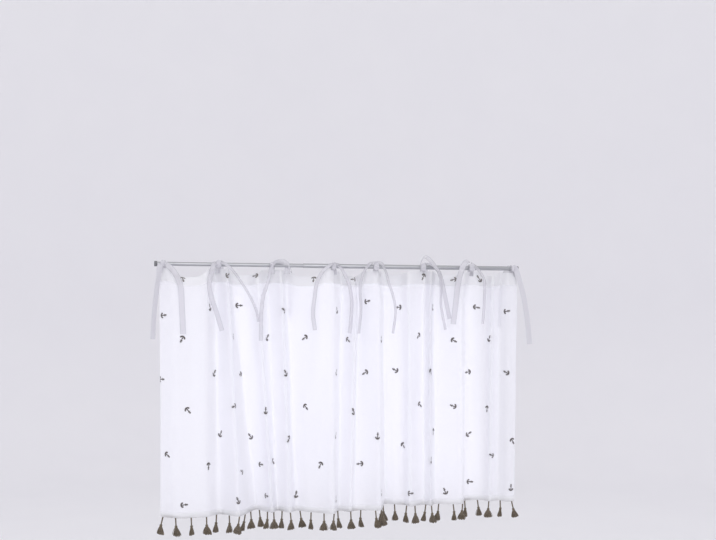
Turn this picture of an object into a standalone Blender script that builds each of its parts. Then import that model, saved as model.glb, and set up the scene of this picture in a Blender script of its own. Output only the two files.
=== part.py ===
import math
from collections import namedtuple

import bmesh
import bpy
import numpy as np
from mathutils import Matrix, Vector

# A cafe curtain: one cloth panel with a doubled heading and hem, hung from a
# telescopic rod by eight tape ties, with tassels on a braid behind the hem.
# Units are metres. The origin is the middle of the rod's left end face, the rod
# runs along +X, and the front of the cloth looks towards -Y.

CM = 0.01
MM = 0.001
TOUCH = 0.3 * MM  # left between two pieces that touch

# Cloth
CLOTH_WIDTH = 140 * CM  # flat, along the heading
HEADING_DEPTH = 3.2 * CM
HEM_DEPTH = 1.2 * CM
CLOTH_THICK = 1.3 * MM
DOUBLED_THICK = 2.2 * MM  # heading and hem, where the cloth is turned over
TOP_BELOW_ROD = 1.1 * CM  # top edge under a tie, from the rod's axis
HEM_BELOW_ROD_LEFT = 60.6 * CM
HEM_BELOW_ROD_RIGHT = 59.7 * CM
FOLD_ROUNDING = 1.0 * CM  # how softly the cloth turns at a crest
TIE_PULL_DEPTH = 9 * CM  # how far down a tie draws the folds to the rod
COLUMNS_PER_FOLD = 4
CREST_STEP = 0.14  # first column beside a crest, as a share of the fold
ROW_HEIGHTS = (0.15, 0.32, 0.50, 0.68, 0.85)  # between heading and hem

# Rod
ROD_LENGTH = 91.6 * CM
SOCKET_START = 36.0 * CM  # left end of the outer tube
SOCKET_DEPTH = 6.0 * CM
OUTER_TUBE_DIA = 11.0 * MM
OUTER_TUBE_BORE = 10.4 * MM
INNER_TUBE_DIA = 9.6 * MM
CAP_DIA = 13.0 * MM
CAP_LENGTH = 7.0 * MM
CAP_FLOOR = 2.0 * MM
CAP_EDGE = 0.8 * MM
ROUND_SIDES = 24

# Ties
TAPE_WIDTH = 12 * MM
TAPE_THICK = 1.2 * MM
LOOP_INNER_RADIUS = 6.1 * MM
LOOP_SIDES = 14
KNOT_OUT = 10.5 * MM  # knot's middle, in front of or behind the rod's axis
KNOT_UP = 2.5 * MM
KNOT_RADII = (7.0 * MM, 4.0 * MM, 4.6 * MM)
TAIL_STEPS = 9
TAIL_CLEAR = 6.5 * MM  # from the cloth's middle to a tail's middle

# Braid and tassels
BRAID_HEIGHT = 9.0 * MM
BRAID_THICK = 1.2 * MM
BRAID_SHOWS = 2.5 * MM  # below the hem
TASSEL_PITCH = 3.75 * CM
FIRST_TASSEL = 0.6 * CM
TASSEL_COUNT = 38
STEM_LENGTH = 19.0 * MM
STEM_RADIUS = 2.1 * MM
HEAD_RADIUS = 3.4 * MM
HEAD_LENGTH = 5.0 * MM
SKIRT_LENGTH = 17.5 * MM
SKIRT_RADIUS = 8.2 * MM
LOCKS = 7  # in each tassel

# One row for each fold crest, left to right: where it is under the heading and at
# the hem, across from the rod's left end and in depth from the rod, in centimetres.
Fold = namedtuple("Fold", "top_across top_depth hem_across hem_depth")
FOLDS = (
    Fold(1.2, 0.0, 1.5, -0.4),
    Fold(4.4, -3.1, 4.6, -3.2),
    Fold(8.4, -2.6, 8.6, -3.5),
    Fold(12.4, -3.1, 12.6, -3.3),
    Fold(14.5, 2.2, 15.5, 0.5),
    Fold(17.5, -2.9, 19.9, -5.5),
    Fold(18.2, 3.1, 25.0, 5.3),
    Fold(22.4, 2.2, 26.6, 2.3),
    Fold(24.7, -1.9, 28.2, -1.9),
    Fold(27.2, 2.9, 29.9, 2.7),
    Fold(30.6, -2.6, 32.4, -3.0),
    Fold(31.8, 2.6, 34.4, 0.8),
    Fold(35.2, 0.0, 36.6, -2.5),
    Fold(39.2, -3.4, 39.2, -4.9),
    Fold(43.1, -3.4, 42.3, -7.6),
    Fold(46.1, 2.6, 44.5, -1.6),
    Fold(49.0, -3.1, 47.3, -5.3),
    Fold(50.2, 2.2, 48.0, -2.6),
    Fold(51.9, -1.9, 51.2, -3.0),
    Fold(55.0, -3.1, 54.4, -5.7),
    Fold(56.8, 3.6, 57.8, 6.0),
    Fold(59.3, 2.6, 59.8, 3.3),
    Fold(61.3, 1.2, 62.0, 2.7),
    Fold(61.9, -2.9, 62.8, -1.5),
    Fold(67.1, 2.2, 67.4, 2.4),
    Fold(67.6, -2.9, 68.0, -2.2),
    Fold(69.6, 2.2, 70.1, 2.2),
    Fold(72.7, 0.7, 72.6, 0.4),
    Fold(75.9, -3.1, 76.7, -0.7),
    Fold(78.2, 3.1, 79.0, 5.1),
    Fold(81.2, 2.6, 81.9, 5.4),
    Fold(83.5, 1.2, 84.1, 4.8),
    Fold(84.0, -2.2, 84.4, 1.6),
    Fold(87.4, 1.9, 87.6, 3.9),
    Fold(88.8, -1.1, 88.9, 0.5),
    Fold(91.4, 0.0, 91.0, 1.3),
)

# One row for each tie, left to right: its place along the rod, the width wrapped
# round the rod, how high its loop stands over the rod's axis, between which two
# places it holds the cloth's top edge level, and how far that edge dips before the
# next tie, in centimetres.
Tie = namedtuple("Tie", "across wrap loop_top hold_from hold_to next_dip")
TIES = (
    Tie(2.0, 2.2, 0.75, 0.0, 4.0, 2.2),
    Tie(15.7, 2.0, 1.1, 12.8, 17.6, 1.3),
    Tie(30.2, 4.2, 1.1, 25.9, 33.0, 1.5),
    Tie(43.6, 1.8, 1.2, 41.2, 45.7, 1.3),
    Tie(54.2, 2.6, 1.1, 51.4, 56.9, 0.7),
    Tie(67.0, 1.6, 2.6, 62.6, 68.8, 0.9),
    Tie(78.6, 2.2, 1.6, 76.3, 81.1, 1.0),
    Tie(89.9, 1.6, 0.8, 86.5, 92.0, 0.0),
)

# One row for each tape end: the number of its tie, whether it hangs before or
# behind the cloth, where it leaves the knot, then its shoulder, middle and end,
# across from the tie and up from the rod, in centimetres, how far it is turned
# from facing forward, in degrees, and how far it stands off the cloth, in
# millimetres.
Tail = namedtuple(
    "Tail",
    "tie side leave shoulder_x shoulder_z middle_x middle_z end_x end_z turn off",
)
FRONT, BEHIND = -1, 1
TAILS = (
    Tail(0, FRONT, 0.3, -0.9, -4.0, -1.4, -9.5, -2.0, -18.5, -20, 0),
    Tail(0, FRONT, -0.1, 3.3, -3.0, 4.7, -8.0, 5.5, -18.0, 10, 0),
    Tail(1, FRONT, 0.4, -2.3, -3.8, -2.2, -9.0, 0.4, -16.7, 30, 0),
    Tail(1, FRONT, -0.3, 5.2, -4.1, 7.8, -9.6, 9.0, -14.2, -25, 0),
    Tail(2, FRONT, -1.4, -3.0, -3.5, -4.1, -9.5, -4.8, -18.7, 20, 12),
    Tail(2, BEHIND, 0.9, 2.6, -3.0, 3.2, -8.0, 3.1, -12.6, 5, 0),
    Tail(3, FRONT, 0.4, -3.8, -3.4, -4.6, -8.8, -4.6, -15.8, 20, 0),
    Tail(3, FRONT, -0.3, 3.2, -4.4, 4.4, -9.6, 4.0, -16.5, -30, 0),
    Tail(4, FRONT, 0.5, -3.4, -3.2, -3.9, -9.0, -4.2, -16.3, 25, 0),
    Tail(4, FRONT, -0.4, 3.4, -4.0, 5.0, -9.8, 4.6, -16.3, -20, 0),
    Tail(5, FRONT, -0.8, 3.1, -2.4, 3.6, -8.6, 4.1, -14.4, 20, 0),
    Tail(5, FRONT, -0.2, 4.1, -4.0, 5.4, -8.8, 5.9, -14.8, -35, 9),
    Tail(6, FRONT, 0.6, -2.6, -3.0, -3.6, -8.8, -4.0, -14.2, 30, 0),
    Tail(6, FRONT, -0.2, 3.7, -3.2, 4.0, -8.0, 3.5, -14.0, -35, 0),
    Tail(7, FRONT, -0.2, 2.1, -4.6, 3.5, -11.4, 4.4, -19.0, 15, 0),
    Tail(7, BEHIND, 0.2, -3.2, -3.4, -3.8, -8.8, -3.9, -15.0, 10, 0),
)

# How far each tassel swings to the right as it hangs, in degrees, left to right.
TASSEL_LEANS = (
    -13, 3, 2, 1, -3, 2, -8, -9, 4, 5, -1, 3, -3, 5, 8, -2, 1, -5, 3, 2,
    -2, 6, 9, -11, 2, 4, -5, 3, -9, 5, -4, 7, -6, 3, 8, -3, 2, 12,
)

Colour = namedtuple("Colour", "name red green blue roughness metallic")
COTTON = Colour("sheer_cotton", 0.86, 0.86, 0.89, 0.9, 0.0)
TAPE = Colour("cotton_tape", 0.80, 0.80, 0.82, 0.9, 0.0)
YARN = Colour("taupe_yarn", 0.15, 0.13, 0.10, 0.95, 0.0)
STEEL = Colour("chromed_steel", 0.60, 0.60, 0.61, 0.22, 1.0)
PLASTIC = Colour("end_cap_plastic", 0.20, 0.20, 0.21, 0.6, 0.0)


# ---- scene and small helpers


def clear_scene():
    for obj in list(bpy.data.objects):
        bpy.data.objects.remove(obj, do_unlink=True)


def new_collection(name):
    group = bpy.data.collections.new(name)
    bpy.context.scene.collection.children.link(group)
    return group


def material_of(colour):
    material = bpy.data.materials.get(colour.name)
    if material is None:
        material = bpy.data.materials.new(colour.name)
        material.use_nodes = True
        shader = material.node_tree.nodes["Principled BSDF"]
        base = (colour.red, colour.green, colour.blue, 1.0)
        shader.inputs["Base Color"].default_value = base
        shader.inputs["Roughness"].default_value = colour.roughness
        shader.inputs["Metallic"].default_value = colour.metallic
        material.diffuse_color = base
    return material


def object_of(shape, name, group, colour):
    mesh = bpy.data.meshes.new(name)
    shape.to_mesh(mesh)
    shape.free()
    mesh.materials.append(material_of(colour))
    obj = bpy.data.objects.new(name, mesh)
    group.objects.link(obj)
    return obj


def thicken(obj, thickness, offset=0.0, band=None):
    """Gives an open sheet its thickness, thinner outside the named vertex group."""
    solidify = obj.modifiers.new("Thickness", "SOLIDIFY")
    solidify.thickness = thickness
    solidify.offset = offset
    if band:
        solidify.vertex_group = band
        solidify.thickness_vertex_group = CLOTH_THICK / DOUBLED_THICK


def join_with(obj, helper, operation="UNION"):
    helper.hide_render = True
    helper.display_type = "WIRE"
    boolean = obj.modifiers.new(helper.name, "BOOLEAN")
    boolean.operation = operation
    boolean.solver = "EXACT"
    boolean.object = helper


def smooth_sides(obj, angle=40):
    obj.data.shade_smooth()
    obj.data.set_sharp_from_angle(angle=math.radians(angle))


# ---- the folds, as one cross-section of the cloth at each height


def even_steps(across, depth, count):
    """The same line with its points evenly spaced, and its length."""
    run = np.concatenate([[0], np.cumsum(np.hypot(np.diff(across), np.diff(depth)))])
    steps = np.linspace(0, run[-1], count)
    return np.interp(steps, run, across), np.interp(steps, run, depth), run[-1]


def round_off(values, spread):
    """Softens a line's corners and keeps its two ends where they are."""
    reach = int(4 * spread)
    weights = np.exp(-0.5 * (np.arange(-reach, reach + 1) / spread) ** 2)
    before = 2 * values[0] - values[reach:0:-1]
    after = 2 * values[-1] - values[-2 : -reach - 2 : -1]
    padded = np.concatenate([before, values, after])
    return np.convolve(padded, weights / weights.sum(), "valid")


class Section:
    """The cloth cut level at one height, from 0 at the top edge to 1 at the hem."""

    POINTS = 1400

    def __init__(self, height):
        table = np.array(FOLDS) * CM
        across = table[:, 0] + (table[:, 2] - table[:, 0]) * height
        depth = table[:, 1] + (table[:, 3] - table[:, 1]) * height
        shallow, deep = 0.3, 3.0
        while deep - shallow > 0.0005:  # depth that uses the cloth's whole width
            gain = (shallow + deep) / 2
            self.fit(across, depth * gain)
            if self.length < CLOTH_WIDTH:
                shallow = gain
            else:
                deep = gain
        self.draw_to_rod(height)
        self.run = np.linspace(0, CLOTH_WIDTH, self.POINTS)
        corners = np.concatenate(
            [[0], np.cumsum(np.hypot(np.diff(across), np.diff(depth * gain)))]
        )
        self.crests = corners / corners[-1] * CLOTH_WIDTH

    def fit(self, across, depth):
        x, y, length = even_steps(across, depth, self.POINTS)
        spread = FOLD_ROUNDING / (length / (self.POINTS - 1))
        x, y = round_off(x, spread), round_off(y, spread)
        self.x, self.y, self.length = even_steps(x, y, self.POINTS)

    def draw_to_rod(self, height):
        """Under each tie the cloth's top comes in line with the rod."""
        reach = TIE_PULL_DEPTH / HEM_BELOW_ROD_LEFT
        if height >= reach:
            return
        ties = [tie.across * CM for tie in TIES]
        at_ties = np.interp(ties, self.x, self.y)
        share = 0.5 + 0.5 * math.cos(math.pi * height / reach)
        self.y = self.y - share * np.interp(self.x, ties, at_ties)

    def at(self, distance):
        """The place of a point this far along the cloth."""
        x = np.interp(distance, self.run, self.x)
        y = np.interp(distance, self.run, self.y)
        return float(x), float(y)

    def columns(self):
        """Distances along the cloth, closer together beside each crest."""
        inner = np.linspace(CREST_STEP, 1 - CREST_STEP, COLUMNS_PER_FOLD - 1)
        shares = np.concatenate([[0], inner])
        starts, widths = self.crests[:-1], np.diff(self.crests)
        spaced = starts[:, None] + widths[:, None] * shares[None, :]
        return np.append(spaced.ravel(), self.crests[-1])

    def nearest(self, across, half_width, side):
        """The cloth's furthest reach to one side, near a place across."""
        near = np.abs(self.x - across) <= half_width
        if not near.any():
            return 0.0
        return float((self.y[near] * side).max()) * side


def top_edge(across):
    """Height of the cloth's top edge: level at the ties, dipping between them."""
    level = -TOP_BELOW_ROD
    for tie, after in zip(TIES, TIES[1:]):
        left, right = tie.hold_to * CM, after.hold_from * CM
        if left < across < right:
            share = (across - left) / (right - left)
            return level - tie.next_dip * CM * (1 - abs(2 * share - 1) ** 3)
    return level


def hem_edge(distance):
    share = distance / CLOTH_WIDTH
    return -HEM_BELOW_ROD_LEFT + (HEM_BELOW_ROD_LEFT - HEM_BELOW_ROD_RIGHT) * share


def cloth_rows():
    """Heights of the panel's rows and whether each lies in a doubled band."""
    length = HEM_BELOW_ROD_LEFT - TOP_BELOW_ROD
    heading, hem = HEADING_DEPTH / length, 1 - HEM_DEPTH / length
    step = 2 * MM / length
    rows = [(0.0, True), (heading, True), (heading + step, False)]
    rows += [(height, False) for height in ROW_HEIGHTS]
    return rows + [(hem - step, False), (hem, True), (1.0, True)]


def sheet_grid(columns, rows, place):
    """An open sheet whose point in each column and row is where place says."""
    shape = bmesh.new()
    bmesh.ops.create_grid(shape, x_segments=columns - 1, y_segments=rows - 1, size=1)
    shape.verts.ensure_lookup_table()
    for number, vert in enumerate(shape.verts):
        vert.co = place(number % columns, number // columns)
    bmesh.ops.reverse_faces(shape, faces=shape.faces)
    return shape


def cloth_line(height):
    """The points of one level line on the cloth, left to right."""
    section = Section(height)
    line = []
    for distance in section.columns():
        x, y = section.at(distance)
        top, hem = top_edge(x), hem_edge(distance)
        line.append(Vector((x, y, top + (hem - top) * height)))
    return line


def make_panel(group):
    rows = cloth_rows()
    lines = [cloth_line(height) for height, _ in rows]
    count = len(lines[0])
    shape = sheet_grid(count, len(rows), lambda column, row: lines[row][column])
    panel = object_of(shape, "panel", group, COTTON)
    band = panel.vertex_groups.new(name="doubled")
    doubled = [row for row, (_, is_doubled) in enumerate(rows) if is_doubled]
    band.add([row * count + c for row in doubled for c in range(count)], 1.0, "ADD")
    thicken(panel, DOUBLED_THICK, band="doubled")
    smooth_sides(panel, 60)
    return panel


# ---- the rod and its end caps


def cylinder(name, start, end, diameter, group, colour, edge=0.0):
    """A round bar along the rod's axis, with its end edges taken off."""
    shape = bmesh.new()
    bmesh.ops.create_cone(
        shape,
        cap_ends=True,
        segments=ROUND_SIDES,
        radius1=diameter / 2,
        radius2=diameter / 2,
        depth=end - start,
    )
    if edge:
        rims = [e for e in shape.edges if {len(f.verts) for f in e.link_faces} != {4}]
        bmesh.ops.bevel(shape, geom=rims, offset=edge, segments=1, affect="EDGES")
    turn = Matrix.Rotation(math.radians(90), 4, "Y")
    middle = Matrix.Translation(((start + end) / 2, 0, 0))
    bmesh.ops.transform(shape, matrix=middle @ turn, verts=shape.verts)
    bar = object_of(shape, name, group, colour)
    smooth_sides(bar)
    return bar


def make_rod(group, helpers):
    left = CAP_FLOOR + TOUCH
    right = ROD_LENGTH - CAP_FLOOR - TOUCH
    inner_end = SOCKET_START + SOCKET_DEPTH - TOUCH
    cylinder("rod_inner", left, inner_end, INNER_TUBE_DIA, group, STEEL)
    outer = cylinder("rod_outer", SOCKET_START, right, OUTER_TUBE_DIA, group, STEEL)
    bore = cylinder(
        "socket_cutter",
        SOCKET_START - 1 * CM,
        SOCKET_START + SOCKET_DEPTH,
        OUTER_TUBE_BORE,
        helpers,
        STEEL,
    )
    join_with(outer, bore, "DIFFERENCE")


def make_cap(name, start, end, rod_diameter, mouth, group, helpers):
    """A plug pushed over one end of the rod. Its outer face is flat."""
    cap = cylinder(name, start, end, CAP_DIA, group, PLASTIC, edge=CAP_EDGE)
    floor = start + CAP_FLOOR if mouth > 0 else end - CAP_FLOOR
    open_end = end + 1 * CM if mouth > 0 else start - 1 * CM
    seat = cylinder(
        name + "_cutter",
        min(floor, open_end),
        max(floor, open_end),
        rod_diameter + 2 * TOUCH + 0.1 * MM,
        helpers,
        PLASTIC,
    )
    join_with(cap, seat, "DIFFERENCE")


# ---- ties


def soft_point(before, start, end, after, share):
    """A point between start and end on a curve that makes no cusp at a short step."""
    first, step, last = (
        math.sqrt((q - p).length)
        for p, q in ((before, start), (start, end), (end, after))
    )
    out = (start - before) / first - (end - before) / (first + step)
    into = (after - end) / last - (after - start) / (step + last)
    out, into = out * step + (end - start), into * step + (end - start)
    across = end - start
    square, cube = 3 * across - 2 * out - into, out + into - 2 * across
    return start + out * share + square * share**2 + cube * share**3


def smooth_path(points, count):
    """Points on a soft curve through the given ones, as many on each stretch."""
    points = [2 * points[0] - points[1], *points, 2 * points[-1] - points[-2]]
    path = []
    for station in np.linspace(0, len(points) - 3, count):
        first = min(int(station), len(points) - 4)
        path.append(soft_point(*points[first : first + 4], station - first))
    return path


def cloth_height_share(across, up):
    top = top_edge(across)
    return (top - up) / (top + HEM_BELOW_ROD_LEFT)


def tail_path(tail, sections):
    """The middle line of one tape end, from inside its knot to its cut end."""
    tie = TIES[tail.tie].across
    corners = (
        (tail.leave, KNOT_UP / CM),
        (tail.shoulder_x, tail.shoulder_z),
        (tail.middle_x, tail.middle_z),
        (tail.end_x, tail.end_z),
    )
    route = [Vector(((tie + across) * CM, 0, up * CM)) for across, up in corners]
    path = smooth_path(route, TAIL_STEPS + 1)
    outs = [KNOT_OUT]
    for point in path[1:]:
        out = outs[-1]
        height = cloth_height_share(point.x, point.z)
        if height > -0.02:
            nearest = min(sections, key=lambda section: abs(section - height))
            cloth = sections[nearest].nearest(point.x, TAPE_WIDTH, tail.side)
            out = max(out, cloth * tail.side + TAIL_CLEAR + tail.off * MM)
        outs.append(out)
    for _ in range(3):  # a tape reaches over a fold in a soft line
        for i in range(2, TAIL_STEPS):
            outs[i] = max(outs[i], (outs[i - 1] + outs[i + 1]) / 2)
    for point, out in zip(path, outs):
        point.y = tail.side * out
    return path


def tail_helper(name, tail, sections, helpers):
    path = tail_path(tail, sections)

    def place(column, row):
        angle = math.radians(tail.turn * min(1.0, row / 3))
        run = path[min(row + 1, TAIL_STEPS)] - path[max(row - 1, 0)]
        width = Vector((0, 1, 0)).cross(run).normalized()
        width = Matrix.Rotation(angle, 3, run.normalized()) @ width
        return path[row] + width * TAPE_WIDTH * (column - 0.5)

    shape = sheet_grid(2, TAIL_STEPS + 1, place)
    tape = object_of(shape, name, helpers, TAPE)
    thicken(tape, TAPE_THICK)
    return tape


def knot_helper(name, across, side, helpers):
    shape = bmesh.new()
    bmesh.ops.create_uvsphere(shape, u_segments=8, v_segments=6, radius=1)
    place = Matrix.Translation((across, side * KNOT_OUT, KNOT_UP))
    size = Matrix.Diagonal((*KNOT_RADII, 1))
    bmesh.ops.transform(shape, matrix=place @ size, verts=shape.verts)
    return object_of(shape, name, helpers, TAPE)


def tab_helper(name, tie, helpers):
    """The sewn stub between the loop and the cloth's top edge."""
    upper = -LOOP_INNER_RADIUS - 0.5 * TAPE_THICK
    lower = -TOP_BELOW_ROD + TOUCH
    shape = bmesh.new()
    bmesh.ops.create_cube(shape, size=1)
    size = (min(tie.wrap * CM, 2 * TAPE_WIDTH), TAPE_THICK, upper - lower)
    place = Matrix.Translation((tie.across * CM, 0, (upper + lower) / 2))
    matrix = place @ Matrix.Diagonal((*size, 1))
    bmesh.ops.transform(shape, matrix=matrix, verts=shape.verts)
    return object_of(shape, name, helpers, TAPE)


def make_tie(number, group, helpers, sections):
    """A tape tied round the rod: its loop, knots, sewn stub and two free ends."""
    tie = TIES[number]
    name = f"tie_{number + 1}"
    shape = bmesh.new()
    bmesh.ops.create_cone(
        shape,
        cap_ends=False,
        segments=LOOP_SIDES,
        radius1=LOOP_INNER_RADIUS,
        radius2=LOOP_INNER_RADIUS,
        depth=tie.wrap * CM,
    )
    turn = Matrix.Rotation(math.radians(90), 4, "Y")
    place = Matrix.Translation((tie.across * CM, 0, 0))
    bmesh.ops.transform(shape, matrix=place @ turn, verts=shape.verts)
    rise = (tie.loop_top * CM - TAPE_THICK) / LOOP_INNER_RADIUS
    for vert in shape.verts:
        if vert.co.z > 0:
            vert.co.z *= max(rise, 1.0)
    loop = object_of(shape, name, group, TAPE)
    thicken(loop, TAPE_THICK, offset=1.0)
    join_with(loop, tab_helper(name + "_stub", tie, helpers))
    own_tails = [tail for tail in TAILS if tail.tie == number]
    for index, tail in enumerate(own_tails):
        across = (tie.across + tail.leave) * CM
        knot = knot_helper(f"{name}_knot_{index}", across, tail.side, helpers)
        join_with(loop, knot)
        tape = tail_helper(f"{name}_end_{index}", tail, sections, helpers)
        join_with(loop, tape)
    smooth_sides(loop)


# ---- braid and tassels


def make_braid(group):
    """A strip that follows the back of the hem and shows a little below it.

    Returns the points of its lower edge and how far each is along the cloth.
    """
    drop = HEM_BELOW_ROD_LEFT - TOP_BELOW_ROD
    low, high = 1 + BRAID_SHOWS / drop, 1 - (BRAID_HEIGHT - BRAID_SHOWS) / drop
    lines = [cloth_line(high), cloth_line(low)]
    shape = sheet_grid(len(lines[0]), 2, lambda column, row: lines[row][column])
    shape.normal_update()
    gap = TOUCH + 0.1 * MM
    offset = DOUBLED_THICK / 2 + gap + BRAID_THICK / 2
    behind = [vert.co - vert.normal * offset for vert in shape.verts]
    for vert, place in zip(shape.verts, behind):
        vert.co = place
    braid = object_of(shape, "braid", group, YARN)
    thicken(braid, BRAID_THICK)
    smooth_sides(braid, 60)
    return behind[len(lines[0]) :], Section(low).columns()


def tassel_shape(number):
    """One tassel hanging from its top at the origin: cord, head and parted locks."""
    shape = bmesh.new()
    bmesh.ops.create_cone(
        shape,
        cap_ends=True,
        cap_tris=True,
        segments=LOCKS,
        radius1=HEAD_RADIUS,
        radius2=STEM_RADIUS,
        depth=HEAD_LENGTH,
        matrix=Matrix.Translation((0, 0, -STEM_LENGTH - HEAD_LENGTH / 2)),
    )
    top = [f for f in shape.faces if f.normal.z > 0.9]
    raised = bmesh.ops.extrude_face_region(shape, geom=top)["geom"]
    verts = [v for v in raised if isinstance(v, bmesh.types.BMVert)]
    bmesh.ops.translate(shape, vec=(0, 0, STEM_LENGTH), verts=verts)
    bmesh.ops.delete(shape, geom=top, context="FACES")
    bottom = [f for f in shape.faces if f.normal.z < -0.9]
    bmesh.ops.inset_individual(shape, faces=bottom, thickness=0.25 * MM)
    floor = -STEM_LENGTH - HEAD_LENGTH
    bottom = [
        f
        for f in shape.faces
        if f.normal.z < -0.9 and len(f.verts) == 3 and f.calc_center_median().z <= floor
    ]
    locks = bmesh.ops.extrude_discrete_faces(shape, faces=bottom)["faces"]
    spread = 0.82 + 0.18 * math.sin(2.4 * number)
    for index, face in enumerate(locks):
        middle = face.calc_center_median()
        outward = Vector((middle.x, middle.y, 0)).normalized()
        uneven = math.sin(1.9 * number + 2.1 * index)
        drop = SKIRT_LENGTH * (1 + 0.07 * uneven)
        fan = (SKIRT_RADIUS * spread - HEAD_RADIUS) * (1 + 0.25 * uneven)
        for vert in face.verts:
            vert.co = middle + (vert.co - middle) * 2.0
            vert.co += outward * fan + Vector((0, 0, -drop))
    return shape


def make_tassel(number, group, edge, distances):
    distance = FIRST_TASSEL + TASSEL_PITCH * number
    along = [np.interp(distance, distances, [p[axis] for p in edge]) for axis in range(3)]
    top = Vector(along)
    top.z -= TOUCH
    lean = Matrix.Rotation(math.radians(-TASSEL_LEANS[number]), 4, "Y")
    tip = Matrix.Rotation(math.radians(4 * math.sin(1.3 * number)), 4, "X")
    shape = tassel_shape(number)
    for vert in shape.verts:
        if vert.co.z < -TOUCH:  # the cord's top stays level under the braid
            vert.co = (lean @ tip).to_3x3() @ vert.co
    bmesh.ops.translate(shape, vec=top, verts=shape.verts)
    tassel = object_of(shape, f"tassel_{number + 1:02d}", group, YARN)
    smooth_sides(tassel)


def main():
    clear_scene()
    curtain = new_collection("cafe_curtain")
    helpers = new_collection("helpers")
    make_panel(curtain)
    make_rod(curtain, helpers)
    cap_left_end = CAP_LENGTH
    cap_right_start = ROD_LENGTH - CAP_LENGTH
    make_cap("cap_left", 0, cap_left_end, INNER_TUBE_DIA, 1, curtain, helpers)
    make_cap(
        "cap_right", cap_right_start, ROD_LENGTH, OUTER_TUBE_DIA, -1, curtain, helpers
    )
    heights = np.linspace(0, 0.36, 13)
    sections = {height: Section(height) for height in heights}
    for number in range(len(TIES)):
        make_tie(number, curtain, helpers, sections)
    edge, distances = make_braid(curtain)
    for number in range(TASSEL_COUNT):
        make_tassel(number, curtain, edge, distances)


main()
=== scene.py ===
# A cafe curtain of sheer cotton, tied to a thin telescopic rod by cotton tapes, with a row of
# yarn tassels under its hem. Metres, +Z up. The rod runs along +X from the middle of its left
# end face, and the front of the cloth looks towards -Y.
import math
from functools import partial

import bpy
import numpy as np
from mathutils import Matrix, Vector


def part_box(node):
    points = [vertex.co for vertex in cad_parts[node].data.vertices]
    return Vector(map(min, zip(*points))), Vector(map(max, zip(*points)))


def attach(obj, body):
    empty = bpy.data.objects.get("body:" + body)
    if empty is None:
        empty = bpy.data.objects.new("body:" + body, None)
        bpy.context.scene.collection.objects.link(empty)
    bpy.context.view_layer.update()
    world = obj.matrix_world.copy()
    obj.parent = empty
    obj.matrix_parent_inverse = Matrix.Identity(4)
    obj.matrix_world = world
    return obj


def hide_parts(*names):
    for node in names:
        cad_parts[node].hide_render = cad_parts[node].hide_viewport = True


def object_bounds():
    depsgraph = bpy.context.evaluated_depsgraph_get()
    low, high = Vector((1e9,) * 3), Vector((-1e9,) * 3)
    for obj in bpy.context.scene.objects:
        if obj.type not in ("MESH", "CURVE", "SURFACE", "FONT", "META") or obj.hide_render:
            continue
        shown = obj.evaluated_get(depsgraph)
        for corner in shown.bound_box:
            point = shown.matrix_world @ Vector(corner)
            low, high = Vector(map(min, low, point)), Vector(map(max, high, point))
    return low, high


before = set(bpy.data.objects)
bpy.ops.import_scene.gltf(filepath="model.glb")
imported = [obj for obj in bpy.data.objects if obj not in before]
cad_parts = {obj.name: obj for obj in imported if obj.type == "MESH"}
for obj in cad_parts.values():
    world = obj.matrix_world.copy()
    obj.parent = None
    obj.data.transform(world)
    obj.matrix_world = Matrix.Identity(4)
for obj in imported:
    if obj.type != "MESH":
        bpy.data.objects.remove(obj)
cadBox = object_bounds()
cm = 0.01
mm = 0.001
print("frame loaded:", len(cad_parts), "nodes")


# small helpers


def deselectAll():
    for obj in bpy.context.selected_objects:
        obj.select_set(False)


def pick(objects):
    deselectAll()
    for obj in objects:
        obj.select_set(True)
    bpy.context.view_layer.objects.active = objects[0]


def addObject(operator, name, **settings):
    deselectAll()
    operator(**settings)
    obj = bpy.context.object
    obj.name = name
    return obj


def readPoints(mesh):
    points = np.empty(len(mesh.vertices) * 3, np.float32)
    mesh.vertices.foreach_get("co", points)
    return points.reshape(-1, 3)


def writePoints(mesh, points):
    mesh.vertices.foreach_set("co", points.astype(np.float32).ravel())
    mesh.update()


def writeMap(layer, across, up):
    layer.data.foreach_set("uv", np.stack([across, up], axis=1).astype(np.float32).ravel())


def toLinear(hexColour):
    channels = [int(hexColour[i : i + 2], 16) / 255 for i in (1, 3, 5)]
    linear = [c / 12.92 if c <= 0.04045 else ((c + 0.055) / 1.055) ** 2.4 for c in channels]
    return (*linear, 1.0)


def addNode(tree, kind, inputs=(), **settings):
    # inputs come in a dictionary or in the node's own order, and each is a value, a colour's
    # hex code, a socket, or a node whose first output is meant
    node = tree.nodes.new("ShaderNode" + kind)
    for name, value in settings.items():
        setattr(node, name, value)
    named = inputs if isinstance(inputs, dict) else dict(enumerate(inputs))
    for socket, value in named.items():
        if isinstance(value, bpy.types.Node):
            value = value.outputs[0]
        if isinstance(value, bpy.types.NodeSocket):
            tree.links.new(value, node.inputs[socket])
        else:
            isColour = isinstance(value, str)
            node.inputs[socket].default_value = toLinear(value) if isColour else value
    return node


def sheerCotton(add, colour, bump, share, gaps, sheenRoughness):
    # matt threads that pass on a share of the light behind them, with gaps to see through
    front = add("BsdfPrincipled", {
        "Base Color": colour, "Roughness": 0.9, "Specular IOR Level": 0.2,
        "Sheen Weight": 0.15, "Sheen Roughness": sheenRoughness, "Normal": bump,
    })
    through = add("BsdfTranslucent", {"Color": colour, "Normal": bump})
    body = add("MixShader", (share, front, through))
    clear = add("BsdfTransparent")
    surface = add("MixShader", (gaps, body, clear))
    add("OutputMaterial", [surface])


def newMaterial(name):
    # a material without nodes, and addNode for its own tree
    material = bpy.data.materials.new(name)
    material.use_nodes = True
    material.node_tree.nodes.clear()
    return material, partial(addNode, material.node_tree)


def dress(obj, material, slot=None):
    obj.data.materials.clear()
    obj.data.materials.append(material)
    if slot:
        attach(obj, "root")


def applyModifiers(obj):
    pick([obj])
    for modifier in list(obj.modifiers):
        bpy.ops.object.modifier_apply(modifier=modifier.name)


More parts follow.
